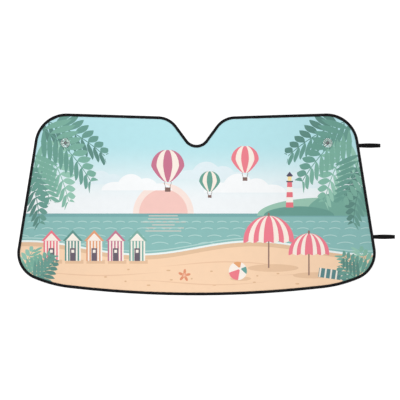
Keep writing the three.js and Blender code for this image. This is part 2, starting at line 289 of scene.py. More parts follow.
class Field:
    """A number that varies over a surface. Arithmetic on it adds the nodes that work it out."""

    def __init__(self, socket, nodes=print_nodes, links=print_links):
        self.socket = socket
        self.nodes = nodes
        self.links = links

    def calculate(self, operation, *others):
        node = self.nodes.new("ShaderNodeMath")
        node.operation = operation
        for place, value in enumerate((self, *others)):
            if isinstance(value, Field):
                self.links.new(value.socket, node.inputs[place])
            else:
                node.inputs[place].default_value = value
        return Field(node.outputs[0], self.nodes, self.links)

    def __add__(self, other):
        return self.calculate("ADD", other)

    def __sub__(self, other):
        return self.calculate("SUBTRACT", other)

    def __rsub__(self, other):
        return self.calculate("MULTIPLY_ADD", -1, other)

    def __mul__(self, other):
        return self.calculate("MULTIPLY", other)

    def __truediv__(self, other):
        return self.calculate("DIVIDE", other)

    def __lt__(self, other):
        return self.calculate("LESS_THAN", other)

    def __gt__(self, other):
        return self.calculate("GREATER_THAN", other)

    def __and__(self, other):
        return self.calculate("MINIMUM", other)

    def __or__(self, other):
        return self.calculate("MAXIMUM", other)

    def __abs__(self):
        return self.calculate("ABSOLUTE")

    __radd__ = __add__
    __rmul__ = __mul__

    def near(self, value, reach):
        return self.calculate("COMPARE", value, reach)

    def sine(self):
        return self.calculate("SINE")

    def root(self):
        return self.calculate("SQRT")

    def floor(self):
        return self.calculate("FLOOR")

    def rest(self):
        """What is left of it above its floor."""
        return self.calculate("FRACT")

    def wrapped(self, low, high):
        return self.calculate("WRAP", high, low)

    def smooth_between(self, low, high):
        """0 below low, 1 above high, and smooth between them."""
        node = self.nodes.new("ShaderNodeMapRange")
        node.interpolation_type = "SMOOTHSTEP"
        self.links.new(self.socket, node.inputs["Value"])
        node.inputs["From Min"].default_value = low
        node.inputs["From Max"].default_value = high
        return Field(node.outputs["Result"], self.nodes, self.links)


coordinates = print_nodes.new("ShaderNodeTexCoord")
shift = (-PANEL_MIDDLE / MM, -PANEL_FOOT / MM, 0)
spot = vector_node("MULTIPLY_ADD", coordinates.outputs["Object"], [(1 / MM, 1 / MM, 0), shift]).outputs[0]
spot_parts = print_nodes.new("ShaderNodeSeparateXYZ")
print_links.new(spot, spot_parts.inputs[0])
across = Field(spot_parts.outputs["X"])
upward = Field(spot_parts.outputs["Y"])

MIX_FIRST = 6  # the colour sockets of a Mix node
MIX_SECOND = 7
MIX_RESULT = 2


class PrintRun:
    """The print so far. Each ink covers what lies under it, where its shape is 1."""

    def __init__(self, colour):
        self.first = screen_colour(*colour)
        self.socket = None

    def ink(self, colour, shape):
        node = print_nodes.new("ShaderNodeMix")
        node.data_type = "RGBA"
        print_links.new(shape.socket, node.inputs["Factor"])
        if self.socket:
            print_links.new(self.socket, node.inputs[MIX_FIRST])
        else:
            node.inputs[MIX_FIRST].default_value = self.first
        node.inputs[MIX_SECOND].default_value = screen_colour(*colour)
        self.socket = node.outputs[MIX_RESULT]


def oval(x, y, width, height):
    """1 inside an oval with that centre and those half sizes."""
    scaled = vector_node("MULTIPLY_ADD", spot, [(1 / width, 1 / height, 0), (-x / width, -y / height, 0)])
    length = vector_node("LENGTH", scaled.outputs[0])
    return Field(length.outputs["Value"]) < 1


def block(x, y, width, height):
    """1 inside an upright box with that centre and those half sizes."""
    return across.near(x, width) & upward.near(y, height)


def turned_about(x, y, angle):
    """How far a point is from x, y along a direction, and how far to the left of it."""
    node = print_nodes.new("ShaderNodeMapping")
    node.vector_type = "TEXTURE"
    print_links.new(spot, node.inputs["Vector"])
    node.inputs["Location"].default_value = (x, y, 0)
    node.inputs["Rotation"].default_value = (0, 0, math.radians(angle))
    parts = print_nodes.new("ShaderNodeSeparateXYZ")
    print_links.new(node.outputs[0], parts.inputs[0])
    return Field(parts.outputs["X"]), Field(parts.outputs["Y"])


# Sky, from aqua down to a pale haze, with the low sun on the horizon
HORIZON = 296
SKY = (183, 230, 237)
HAZE = (244, 248, 250)
HAZE_FULL_BELOW = 330
HAZE_GONE_ABOVE = 560
SUN_GLOW = (251, 230, 221)
SUN_FACE = (247, 201, 192)
SUN_X = -120
SUN_RADIUS = 88
GLOW_RADIUS = SUN_RADIUS + 22
picture = PrintRun(SKY)
picture.ink(HAZE, 1 - upward.smooth_between(HAZE_FULL_BELOW, HAZE_GONE_ABOVE))
picture.ink(SUN_GLOW, oval(SUN_X, HORIZON, GLOW_RADIUS, GLOW_RADIUS))
picture.ink(SUN_FACE, oval(SUN_X, HORIZON, SUN_RADIUS, SUN_RADIUS))


def cloud(x, y, size, colour):
    """A flat-bottomed cloud of four rounded heaps."""
    heaps = oval(x - 1.05 * size, y, 0.7 * size, 0.42 * size)
    for aside, width, height in ((-0.3, 0.72, 0.8), (0.45, 0.6, 0.6), (1.1, 0.6, 0.34)):
        heaps = heaps | oval(x + aside * size, y, width * size, height * size)
    picture.ink(colour, heaps & (upward > y))


FAR_CLOUD = (226, 241, 246)
MIDDLE_CLOUD = (228, 242, 247)
NEAR_CLOUD = (250, 252, 253)
cloud(-330, 402, 62, FAR_CLOUD)
cloud(60, 420, 80, MIDDLE_CLOUD)
cloud(395, 388, 74, FAR_CLOUD)
cloud(-215, 380, 74, NEAR_CLOUD)
cloud(178, 372, 86, NEAR_CLOUD)

# Hot-air balloons, striped down their gores, each with a basket on two ropes
BALLOON_CREAM = (252, 240, 228)
WICKER = (122, 92, 84)
BALLOON_TAPER = 0.42
PALE_GORE = 0.48  # its middle, from 0 at the balloon's own middle to 1 at its side
PALE_GORE_HALF = 0.2
BASKET_DROP = 1.42  # this and the next six are shares of the balloon's radius
BASKET_HALF_WIDTH = 0.17
BASKET_HALF_HEIGHT = 0.13
ROPES_DROP = 1.14
ROPES_HALF_HEIGHT = 0.17
ROPE_FOOT_DROP = 1.3
ROPE_FOOT_ASIDE = 0.13
ROPE_LEAN = 0.28
ROPE_HALF_WIDTH = 0.9
for balloon_x, balloon_y, radius, gore_colour in (
    (-104, 468, 60, (200, 112, 140)),
    (48, 412, 38, (96, 158, 141)),
    (176, 492, 50, (238, 124, 138)),
):
    rising = (upward - balloon_y) / radius
    half = (1 - rising * rising).root() * radius
    taper = 1 + rising.calculate("MINIMUM", 0) * BALLOON_TAPER
    sideways = (across - balloon_x) / (half * taper)
    envelope = sideways.near(0, 1) & rising.near(0, 0.97)
    picture.ink(gore_colour, envelope)
    picture.ink(BALLOON_CREAM, envelope & (abs(abs(sideways) - PALE_GORE) < PALE_GORE_HALF))
    basket_y = balloon_y - BASKET_DROP * radius
    basket = block(balloon_x, basket_y, BASKET_HALF_WIDTH * radius, BASKET_HALF_HEIGHT * radius)
    picture.ink(WICKER, basket)
    rope_spread = (upward - balloon_y + ROPE_FOOT_DROP * radius) * ROPE_LEAN
    off_rope = abs(across - balloon_x) - rope_spread - ROPE_FOOT_ASIDE * radius
    ropes = abs(off_rope) < ROPE_HALF_WIDTH
    picture.ink(WICKER, ropes & upward.near(balloon_y - ROPES_DROP * radius, ROPES_HALF_HEIGHT * radius))

# Sea, with the sun's glitter and rows of small waves
SEA = (134, 187, 183)
FAR_SEA = (116, 170, 170)
GLITTER = (214, 206, 196)
GLITTER_PITCH = 11
GLITTER_Y = 258
GLITTER_HALF_HEIGHT = 34
GLITTER_HALF_WIDTH = 62
GLITTER_SWAY = 22
PALE_WATER = (176, 213, 208)
WAVE_CURVE = 0.6
WAVE_HALF_LENGTH = 0.36  # as a share of the distance from wave to wave
picture.ink(SEA, upward < HORIZON)
picture.ink(FAR_SEA, upward.near(HORIZON - 6, 6))
glitter_row = (upward / GLITTER_PITCH).floor()
glitter = abs(across - SUN_X) < (glitter_row * 2.4).sine() * GLITTER_SWAY + GLITTER_HALF_WIDTH
glitter = glitter & ((upward / GLITTER_PITCH).rest() < 0.3) & upward.near(GLITTER_Y, GLITTER_HALF_HEIGHT)
picture.ink(GLITTER, glitter)
for wave_y, wave_pitch, wave_shift in ((268, 46, 0), (244, 58, 20), (218, 70, 5), (192, 84, 48)):
    along_wave = abs((across + wave_shift).wrapped(-wave_pitch / 2, wave_pitch / 2))
    crest = along_wave * along_wave * (-WAVE_CURVE / wave_pitch) + wave_y
    picture.ink(PALE_WATER, upward.near(crest, 1.5) & (along_wave < WAVE_HALF_LENGTH * wave_pitch))

# Lighthouse on a green headland
GROUND = HORIZON - 8
for hill_x, hill_width, hill_height, hill_colour in (
    (470, 250, 66, (150, 196, 176)),
    (585, 190, 96, (112, 168, 152)),
    (372, 128, 34, (96, 152, 140)),
):
    picture.ink(hill_colour, oval(hill_x, GROUND, hill_width, hill_height) & (upward > GROUND))
TOWER_X = 338
TOWER_FOOT = GROUND + 30
TOWER_HEIGHT = 92
TOWER_TOP = TOWER_FOOT + TOWER_HEIGHT
TOWER_HALF_FOOT = 14
TOWER_TAPER = 0.06
TOWER_BAND = 18.5
TOWER_WHITE = (251, 246, 238)
TOWER_RED = (232, 112, 124)
TOWER_IRON = (70, 62, 88)
TOWER_LIGHT = (252, 226, 160)
rise = upward - TOWER_FOOT
tower = abs(across - TOWER_X) < rise * -TOWER_TAPER + TOWER_HALF_FOOT
tower = tower & rise.near(TOWER_HEIGHT / 2, TOWER_HEIGHT / 2)
picture.ink(TOWER_WHITE, tower)
picture.ink(TOWER_RED, tower & ((rise / (2 * TOWER_BAND)).rest() < 0.5))
picture.ink(TOWER_IRON, block(TOWER_X, TOWER_TOP + 2, 12, 2.5) | block(TOWER_X, TOWER_TOP + 22, 9, 2))
picture.ink(TOWER_LIGHT, block(TOWER_X, TOWER_TOP + 12, 7, 8))
picture.ink(TOWER_IRON, (abs(across - TOWER_X) < rise * -0.8 + 104) & rise.near(122, 8))

# Beach, with foam along the water's edge, wet sand, pebbles and wind lines
SAND = (250, 213, 178)
WET_SAND = (229, 192, 156)
FOAM = (238, 247, 245)
SHORE_Y = 168
SHORE_SWAY = 24
SHORE_WAVE_LENGTH = 820
shore = (across * (2 * math.pi / SHORE_WAVE_LENGTH)).sine() * SHORE_SWAY + SHORE_Y
picture.ink(FOAM, upward < shore + 7)
picture.ink(PALE_WATER, upward.near(shore + 15, 2))
picture.ink(WET_SAND, upward < shore)
picture.ink(SAND, upward < shore - 15)
PEBBLE = (226, 182, 140)
WIND_LINE = (238, 196, 160)
for pebble in range(14):
    pebble_x = -330 + pebble * 52 + 24 * math.sin(pebble * 2.1)
    pebble_y = 66 + 30 * math.sin(pebble * 3.7)
    picture.ink(PEBBLE, oval(pebble_x, pebble_y, 6 + 2 * math.sin(pebble * 5), 2.6))
for line_y, line_sway, line_phase in ((112, 9, 0.4), (78, 7, 2.1), (46, 8, 3.9)):
    wind_line = (across / 95 + line_phase).sine() * line_sway + line_y
    strength = (across / 143 + line_phase * 2).sine() * 1.6 + 0.4
    picture.ink(WIND_LINE, abs(upward - wind_line) < strength)

# Row of striped beach huts
HUTS_LEFT = -566
HUT_PITCH = 78
HUT_FOOT = 124
HUT_STRIPES = 11.6
ROOF_SPREAD = 0.92
HUT_WHITE = (252, 243, 232)
HUT_DOOR = (96, 84, 98)
HUT_SHADE = (231, 191, 155)
HUT_COLOURS = [(236, 118, 134), (88, 142, 134), (228, 158, 116), (196, 116, 142), (120, 172, 160)]
hut_number = ((across - HUTS_LEFT) / HUT_PITCH).floor()
hut_across = (across - HUTS_LEFT).wrapped(0, HUT_PITCH) - HUT_PITCH / 2
row_half = len(HUT_COLOURS) * HUT_PITCH / 2
in_row = across.near(HUTS_LEFT + row_half, row_half - 0.5)


def below_roof(peak):
    """1 under two slopes that meet that high above the huts' foot."""
    return abs(hut_across) < (upward - (HUT_FOOT + peak)) * -ROOF_SPREAD


picture.ink(HUT_SHADE, hut_across.near(8, 36) & upward.near(HUT_FOOT - 3, 7) & in_row)
hut_body = hut_across.near(0, 29) & upward.near(HUT_FOOT + 37, 37) & in_row
picture.ink(HUT_WHITE, hut_body)
stripes = (hut_across / HUT_STRIPES + 0.5).rest() < 0.5
for number, colour in enumerate(HUT_COLOURS):
    picture.ink(colour, hut_body & stripes & hut_number.near(number, 0.1))
roof = below_roof(112) & upward.near(HUT_FOOT + 92, 20) & in_row
for number, colour in enumerate(HUT_COLOURS):
    picture.ink(colour, roof & hut_number.near(number, 0.1))
picture.ink(HUT_WHITE, below_roof(101) & upward.near(HUT_FOOT + 86, 13) & in_row)
picture.ink(HUT_DOOR, hut_across.near(0, 10) & upward.near(HUT_FOOT + 23, 23) & in_row)
picture.ink(HUT_WHITE, hut_across.near(0, 5) & upward.near(HUT_FOOT + 35, 5.5) & in_row)

# Two striped parasols with scalloped hems, a ball, a towel and a starfish
SAND_SHADE = (233, 194, 158)
POLE = (145, 109, 98)
PARASOL_RED = (240, 122, 140)
PARASOL_CREAM = (253, 240, 228)
SCALLOPS = 5
SCALLOP_DEPTH = 0.07
for pole_x, hem_y, radius in ((262, 196, 92), (408, 150, 74)):
    picture.ink(SAND_SHADE, oval(pole_x + 16, hem_y - 1.06 * radius, radius, 0.15 * radius))
    picture.ink(POLE, block(pole_x, hem_y - 0.5 * radius, 2.6, 0.56 * radius))
    rising = (upward - hem_y) / radius
    half = (1 - rising * rising).root() * radius
    sideways = (across - pole_x) / half
    hem = abs(((across - pole_x) * (math.pi * SCALLOPS / 2 / radius)).sine()) * -SCALLOP_DEPTH
    dome = sideways.near(0, 1) & (rising > hem) & (rising < 1)
    picture.ink(PARASOL_RED, dome)
    picture.ink(PARASOL_CREAM, dome & ((abs(sideways) * (SCALLOPS / 2) + 0.5).rest() < 0.5))
    picture.ink(POLE, oval(pole_x, hem_y + radius + 4, 4, 7))

BALL_X = 150
BALL_Y = 88
BALL_RADIUS = 33
BALL_POLE = 8  # how far its pole lies up and to the right of its middle
SLICE_HALF = 1 / 12
BALL_WHITE = (252, 242, 232)
picture.ink(SAND_SHADE, oval(BALL_X + 10, BALL_Y - 28, 38, 8))
ball = oval(BALL_X, BALL_Y, BALL_RADIUS, BALL_RADIUS)
picture.ink(BALL_WHITE, ball)
around, outward = turned_about(BALL_X + BALL_POLE, BALL_Y + BALL_POLE, 20)
turn_share = outward.calculate("ARCTAN2", around) / (2 * math.pi) + 0.5
for slice_start, colour in ((0, (238, 120, 134)), (1 / 3, (96, 158, 150)), (2 / 3, (231, 164, 110))):
    picture.ink(colour, turn_share.near(slice_start + SLICE_HALF, SLICE_HALF) & ball)
picture.ink(BALL_WHITE, oval(BALL_X + BALL_POLE, BALL_Y + BALL_POLE, 5, 5))

TOWEL_TEAL = (80, 128, 130)
TOWEL_CREAM = (240, 232, 220)
TOWEL_STRIPES = 20
towel_along, towel_across = turned_about(505, 74, -8)
towel = towel_along.near(0, 62) & towel_across.near(0, 17)
picture.ink(TOWEL_TEAL, towel)
picture.ink(TOWEL_CREAM, towel & ((towel_along / TOWEL_STRIPES).rest() < 0.3))

STARFISH = (226, 142, 104)
STARFISH_MIDDLE = (245, 190, 160)
STARFISH_ARMS = 5
star_along, star_across = turned_about(-44, 72, 12)
star_arms = (star_across.calculate("ARCTAN2", star_along) * STARFISH_ARMS + math.pi / 2).sine()
star_radius = (star_along * star_along + star_across * star_across).root()
for colour, arm_reach, round_middle in ((STARFISH, 8, 15), (STARFISH_MIDDLE, 3, 5)):
    picture.ink(colour, star_radius < star_arms * arm_reach + round_middle)

# Leafy sprays that hang in from the upper corners, and shorter ones that grow at the lower ones
LEAF_SLANT = 0.7
LEAF_PITCH = 0.3  # from one pair of leaves to the next, as a share of a leaf
LEAF_SWELL = 1.9
LEAF_SHORTENING = 0.72  # share of its length that a leaf has lost at the stem's tip
STEM_HALF_WIDTH = 1.6


def spray(x, y, angle, length, bend, leaf, colours):
    """A bent stem with pairs of pointed leaves, which get shorter towards its tip."""
    leaf_colour, light_colour = colours
    along, aside = turned_about(x, y, angle)
    aside = aside - along * along * bend
    spread = abs(aside)
    rooted = along - spread * LEAF_SLANT
    pitch = leaf * LEAF_PITCH
    number = (rooted / pitch).floor()
    off_middle = abs(rooted - (number + 0.5) * pitch)
    reach = number * (-LEAF_SHORTENING * pitch * leaf / length) + leaf
    share = spread / reach
    leaves = off_middle < (share - share * share) * (LEAF_SWELL * pitch)
    leaves = leaves & rooted.near(length / 2, length / 2)
    picture.ink(leaf_colour, leaves)
    picture.ink(light_colour, leaves & (aside > 0))
    picture.ink(leaf_colour, (spread < STEM_HALF_WIDTH) & along.near(length / 2, length / 2))


DARK_LEAF = ((84, 134, 124), (98, 152, 140))
MIDDLE_LEAF = ((100, 156, 142), (118, 174, 156))
LIGHT_LEAF = ((128, 184, 164), (146, 198, 178))
SPRAY_X = 566
for side in (-1, 1):
    for further, spray_y, angle, length, bend, leaf, colours in (
        (60, 470, -62, 210, 0.0011, 74, DARK_LEAF),
        (0, 560, -52, 236, 0.0010, 84, LIGHT_LEAF),
        (10, 640, -14, 268, 0.0010, 88, DARK_LEAF),
        (0, 610, -34, 262, 0.0009, 92, MIDDLE_LEAF),
        (30, 520, -78, 190, -0.0008, 78, MIDDLE_LEAF),
    ):
        lean = angle if side < 0 else 180 - angle
        spray(side * (SPRAY_X + further), spray_y, lean, length, side * bend, leaf, colours)

TUFT_LEAF = 58
for tuft_x, tuft_y, angle, length, bend, colours in (
    (-632, 66, 84, 104, -0.003, LIGHT_LEAF),
    (-612, 56, 60, 118, -0.002, MIDDLE_LEAF),
    (-596, 48, 32, 112, 0.002, DARK_LEAF),
    (632, 66, 96, 104, 0.003, LIGHT_LEAF),
    (612, 56, 120, 118, 0.002, MIDDLE_LEAF),
    (596, 48, 150, 92, -0.002, DARK_LEAF),
):
    spray(tuft_x, tuft_y, angle, length, bend, TUFT_LEAF, colours)


def patches(nodes, links, place, scale, detail=2):
    """A field of soft patches about 0.5, which are smaller for a larger scale."""
    node = nodes.new("ShaderNodeTexNoise")
    node.inputs["Scale"].default_value = scale
    node.inputs["Detail"].default_value = detail
    links.new(place, node.inputs["Vector"])
    return Field(node.outputs["Fac"], nodes, links)


def tone_between(share, first, second):
    """A colour that goes from the first to the second as the share goes from 0 to 1."""
    node = share.nodes.new("ShaderNodeMix")
    node.data_type = "RGBA"
    share.links.new(share.socket, node.inputs["Factor"])
    node.inputs[MIX_FIRST].default_value = screen_colour(*first)
    node.inputs[MIX_SECOND].default_value = screen_colour(*second)
    return node.outputs[MIX_RESULT]


def add_bump(surface, height, strength, distance):
    """Bumps where the height field is high, up to that many metres."""
    bump = height.nodes.new("ShaderNodeBump")
    bump.inputs["Strength"].default_value = strength
    bump.inputs["Distance"].default_value = distance
    height.links.new(height.socket, bump.inputs["Height"])
    height.links.new(bump.outputs[0], surface.inputs["Normal"])


# The film itself: a soft sheen over the faint weave of the cloth that it is bonded to
THREAD_PITCH = 0.8
grain = patches(print_nodes, print_links, spot, 0.035, 6)
patchy = print_nodes.new("ShaderNodeHueSaturation")
print_links.new(picture.socket, patchy.inputs["Color"])
print_links.new((grain * 0.07 + 0.965).socket, patchy.inputs["Value"])
print_links.new(patchy.outputs[0], print_surface.inputs["Base Color"])
print_links.new((grain * 0.12 + 0.48).socket, print_surface.inputs["Roughness"])
weave = (across * (2 * math.pi / THREAD_PITCH)).sine() * (upward * (2 * math.pi / THREAD_PITCH)).sine()
add_bump(print_surface, weave, 0.25, 0.00005)

# Bare silver film behind and on the cut edge, with fine creases
silver_film, film_nodes, film_links, film_surface = new_finish("silver_film")
film_surface.inputs["Metallic"].default_value = 0.85
film_place = film_nodes.new("ShaderNodeTexCoord").outputs["Object"]
creased = patches(film_nodes, film_links, film_place, 90, 8)
film_links.new(tone_between(creased, (196, 200, 204), (216, 219, 222)), film_surface.inputs["Base Color"])
film_links.new((creased * 0.2 + 0.25).socket, film_surface.inputs["Roughness"])
add_bump(film_surface, creased, 0.35, 0.0006)

sheet_mesh = printed_sheet.data
sheet_mesh.materials.clear()
sheet_mesh.materials.append(print_material)
sheet_mesh.materials.append(silver_film)
for face in sheet_mesh.polygons:
    face.material_index = 0 if face.normal.z > 0.5 else 1
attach(printed_sheet, "root")
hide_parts("shade_panel")

# Edge tape: one band of black woven polyester tape, folded over the sheet's edge all the way round and
# pressed down along the seam that holds it.
TAPE_STATION = 2.5
SEAM_FROM_EDGE = 8
SEAM_DIP = 0.5
LOWER_DIP = 0.2  # share of the dip that shows below, where the tape lies on the ground
SEAM_WIDTH = 1.5
NOSE = TAPED_THICKNESS / 2
NOSE_STEPS = 8
TAPE_STOPS = (3.2, 4.6, 5.9, 6.9, 7.5, 8.0, 8.5, 9.1, 9.7, 10.3)  # from the fold, closest at the seam
CUT_EDGE_POINTS = (0.15, 0.45)  # how far below the tape's face, or above its underside
TAPE_PUCKER = 0.12
PUCKER_SIZE = 9
TAPE_WANDER = 0.35
WANDER_SIZE = 16


def tape_height(from_edge):
    """How high the tape's outer face stands above its underside's level."""
    return TAPED_THICKNESS - SEAM_DIP * math.exp(-(((from_edge - SEAM_FROM_EDGE) / SEAM_WIDTH) ** 2))


def fold_round(reach, steps):
    """Half round the tape's fold, from below to above, at that distance from the fold's middle."""
    angles = [math.pi * step / steps for step in range(steps + 1)]
    return [(NOSE - reach * math.sin(angle), NOSE - reach * math.cos(angle)) for angle in angles]


upper_face = [(stop, tape_height(stop)) for stop in TAPE_STOPS]
upper_lining = [(stop, height - TAPE_THICKNESS) for stop, height in upper_face]
upper_edge = [(TAPE_WIDTH, tape_height(TAPE_WIDTH) - depth) for depth in CUT_EDGE_POINTS]
upper = upper_face + upper_edge + upper_lining[::-1]
lower_face = [(stop, (TAPED_THICKNESS - height) * LOWER_DIP) for stop, height in upper_face]
lower_lining = [(stop, height + TAPE_THICKNESS) for stop, height in lower_face]
lower_edge = [(TAPE_WIDTH, depth) for depth in CUT_EDGE_POINTS]
section = fold_round(NOSE, NOSE_STEPS) + upper
section += fold_round(NOSE - TAPE_THICKNESS, NOSE_STEPS)[::-1]
section += lower_lining + lower_edge[::-1] + lower_face[::-1]

tape_path, tape_outwards = outline_path(TAPE_STATION)
tape_points = []
for (edge_x, edge_y), (out_x, out_y) in zip(tape_path.tolist(), tape_outwards.tolist()):
    pucker = noise.noise(Vector((edge_x / PUCKER_SIZE, edge_y / PUCKER_SIZE, 0)))
    wander = noise.noise(Vector((edge_x / WANDER_SIZE, edge_y / WANDER_SIZE, 5)))
    for from_edge, height in section:
        free = min(from_edge / TAPE_WIDTH, 1) ** 2
        inward = from_edge + TAPE_WANDER * wander * free
        x = edge_x - out_x * inward
        y = edge_y - out_y * inward
        lifted = TAPE_PUCKER * pucker if height > NOSE else 0
        tape_points.append((x, y, sheet_lift(x, y) + height + lifted))
stations = len(tape_path)
turns = len(section)
tape_faces = []
for station in range(stations):
    here = station * turns
    there = (station + 1) % stations * turns
    for step in range(turns):
        beside = (step + 1) % turns
        tape_faces.append((here + step, here + beside, there + beside, there + step))
edge_tape = new_piece("edge_tape", tape_points, tape_faces)

tape_map = edge_tape.data.uv_layers.new(name="tape")
steps_round = [math.dist(section[step - 1], section[step]) if step else 0 for step in range(turns)]
round_section = np.cumsum([*steps_round, 1]).tolist()
for face in edge_tape.data.polygons:
    station, step = divmod(face.index, turns)
    start, end = round_section[step : step + 2]
    places = ((station, start), (station, end), (station + 1, end), (station + 1, start))
    for loop, (along, aside) in zip(face.loop_indices, places):
        tape_map.data[loop].uv = (along * TAPE_STATION * MM, aside * MM)


def face_outwards(piece):
    """Turns all the faces of a closed piece outwards."""
    work_on(piece)
    bpy.ops.object.mode_set(mode="EDIT")
    bpy.ops.mesh.select_all(action="SELECT")
    bpy.ops.mesh.normals_make_consistent(inside=False)
    bpy.ops.object.mode_set(mode="OBJECT")


face_outwards(edge_tape)
smooth(edge_tape, 50)


def woven_black(name, colour, light_colour, rib_pitch, thread_pitch, roughness):
    """A black woven band: ribs across it, and finer threads along it, with painted shade in the grooves
    between them.
    """
    material, nodes, links, surface = new_finish(name)
    parts = nodes.new("ShaderNodeSeparateXYZ")
    links.new(nodes.new("ShaderNodeUVMap").outputs[0], parts.inputs[0])
    along = Field(parts.outputs["X"], nodes, links)
    aside = Field(parts.outputs["Y"], nodes, links)
    ribs = (along * (2 * math.pi / (rib_pitch * MM))).sine() * 0.5 + 0.5
    threads = (aside * (2 * math.pi / (thread_pitch * MM))).sine() * 0.5 + 0.5
    height = ribs * 0.6 + threads * 0.4
    wear = patches(nodes, links, nodes.new("ShaderNodeTexCoord").outputs["Object"], 140, 5)
    # Painted shade: the colour is darker in the grooves and lighter on the crests of ribs and threads, and
    # patches of wear vary it
    links.new(tone_between(height * wear, colour, light_colour), surface.inputs["Base Color"])
    surface.inputs["Roughness"].default_value = roughness
    surface.inputs["Specular IOR Level"].default_value = 0.1
    add_bump(surface, height, 0.6, 0.00012)
    return material


edge_tape.data.materials.append(woven_black("black_tape", (14, 14, 15), (36, 36, 39), 0.9, 0.6, 0.8))
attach(edge_tape, "root")
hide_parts("edge_binding")

# Seam: a row of lockstitches in black polyester thread through tape and sheet, and a close bar of
# stitches where each elastic loop is caught.
STITCH_LENGTH = 2.7
STITCH_PITCH = 3.6
STITCH_RADIUS = 0.24
STITCH_TAPER = 0.45
STITCH_SINK = 0.8
BAR_STITCHES = 17
BAR_WIDTH = 11
BAR_FROM_EDGE = 4.4
BAR_LEAN = 0.16
BAR_STRETCH = 0.85
LOWER_LOOP_Y = 211

bpy.ops.object.select_all(action="DESELECT")
bpy.ops.mesh.primitive_cylinder_add(vertices=6, radius=STITCH_RADIUS, depth=STITCH_LENGTH)
stitch_form = bpy.context.object
bpy.ops.object.mode_set(mode="EDIT")
for cut_level in (STITCH_LENGTH / 4, -STITCH_LENGTH / 4):
    bpy.ops.mesh.select_all(action="SELECT")
    bpy.ops.mesh.bisect(plane_co=(0, 0, cut_level), plane_no=(0, 0, 1))
bpy.ops.object.mode_set(mode="OBJECT")
one_stitch = np.array([point.co for point in stitch_form.data.vertices])
at_end = np.abs(one_stitch[:, 2]) > 0.4 * STITCH_LENGTH
one_stitch[at_end, :2] *= STITCH_TAPER
one_stitch[at_end, 0] -= STITCH_SINK * STITCH_RADIUS
stitch_faces = [list(face.vertices) for face in stitch_form.data.polygons]
bpy.data.objects.remove(stitch_form)


def row_of_stitches(name, places):
    """One piece of many stitches. A place is a stitch's middle, direction, upper side and length factor."""
    points = []
    faces = []
    for middle, direction, up, stretch in places:
        forward = Vector(direction).normalized()
        top = Vector(up).normalized()
        aside = top.cross(forward)
        axes = np.array([top, aside, forward])
        first = len(points)
        scaled = one_stitch * (1, 1, stretch)
        points += (np.array(middle) + scaled @ axes).tolist()
        faces += [[first + corner for corner in face] for face in stitch_faces]
    piece = new_piece(name, points, faces)
    face_outwards(piece)
    smooth(piece, 60)
    return piece


def on_tape(edge, outwards, from_edge, above):
    """A point on the tape's upper or lower face, that far in from its folded edge."""
    x = edge[0] - outwards[0] * from_edge
    y = edge[1] - outwards[1] * from_edge
    height = tape_height(from_edge) if above else (TAPED_THICKNESS - tape_height(from_edge)) * LOWER_DIP
    return (x, y, sheet_lift(x, y) + height)


stitch_path, stitch_outwards = outline_path(STITCH_PITCH)
seam_pieces = []
for name, above in (("seam_front", True), ("seam_back", False)):
    places = []
    for edge, outwards in zip(stitch_path.tolist(), stitch_outwards.tolist()):
        middle = on_tape(edge, outwards, SEAM_FROM_EDGE, above)
        up = (0, 0, 1) if above else (0, 0, -1)
        places.append((middle, (-outwards[1], outwards[0], 0), up, 1))
    seam_pieces.append(row_of_stitches(name, places))

bar_path, bar_outwards = outline_path(BAR_WIDTH / BAR_STITCHES)
places = []
for loop_y in (UPPER_LOOP_Y, LOWER_LOOP_Y):
    from_loop = np.where(bar_path[:, 0] > 0, np.abs(bar_path[:, 1] - loop_y), np.inf)
    nearest = int(from_loop.argmin())
    for number in range(nearest - BAR_STITCHES // 2, nearest + BAR_STITCHES // 2 + 1):
        edge = bar_path[number].tolist()
        outwards = bar_outwards[number].tolist()
        middle = on_tape(edge, outwards, BAR_FROM_EDGE, True)
        lean = BAR_LEAN if number % 2 else -BAR_LEAN
        direction = (-outwards[0] - outwards[1] * lean, -outwards[1] + outwards[0] * lean, 0)
        places.append((middle, direction, (0, 0, 1), BAR_STRETCH))
seam_pieces.append(row_of_stitches("loop_bar_tacks", places))

thread, thread_nodes, thread_links, thread_surface = new_finish("black_thread")
thread_place = thread_nodes.new("ShaderNodeTexCoord").outputs["Object"]
fibres = patches(thread_nodes, thread_links, thread_place, 2500)
thread_links.new(tone_between(fibres, (24, 24, 27), (62, 62, 66)), thread_surface.inputs["Base Color"])
thread_surface.inputs["Roughness"].default_value = 0.5
add_bump(thread_surface, fibres, 0.5, 0.00005)
for seam in seam_pieces:
    seam.data.materials.append(thread)
    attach(seam, "root")

# Elastic loops: flat ribbed elastic doubled back on itself, its two ends caught under the tape. They
# go round the sunshade when it is folded away, and lie on the ground beside it here.
LOOP_REACH = 78
LOOP_TAIL = 10
LOOP_TAIL_GAP = 0.3
LOOP_TIP_GAP = 2.6
LOOP_BOW = 1.5
ELASTIC_WIDTH = 13.5
ELASTIC_THICKNESS = 1.1
ELASTIC_RIBS = 7
RIB_DEPTH = 0.1
LOOP_STATIONS = 60
STATION_LENGTH = 1.4
TIP_STATIONS = 14
ACROSS_STEPS = 56
ACROSS_CROWDING = 0.8
EDGE_SQUARENESS = 14

tip_radius = (ELASTIC_THICKNESS + LOOP_TIP_GAP) / 2
tip_middle = ELASTIC_THICKNESS + LOOP_TIP_GAP / 2
tip_centre = LOOP_REACH - tip_radius - ELASTIC_THICKNESS / 2


def leg_share(x):
    """How far along a leg that is, from 0 at the tape to 1 where the tip begins."""
    return min(max(x / tip_centre, 0), 1)


def leg_gap(x):
    share = leg_share(x)
    eased = share * share * (3 - 2 * share)
    return LOOP_TAIL_GAP + eased * (LOOP_TIP_GAP - LOOP_TAIL_GAP)


def leg_bow(x):
    return LOOP_BOW * math.sin(math.pi * leg_share(x))


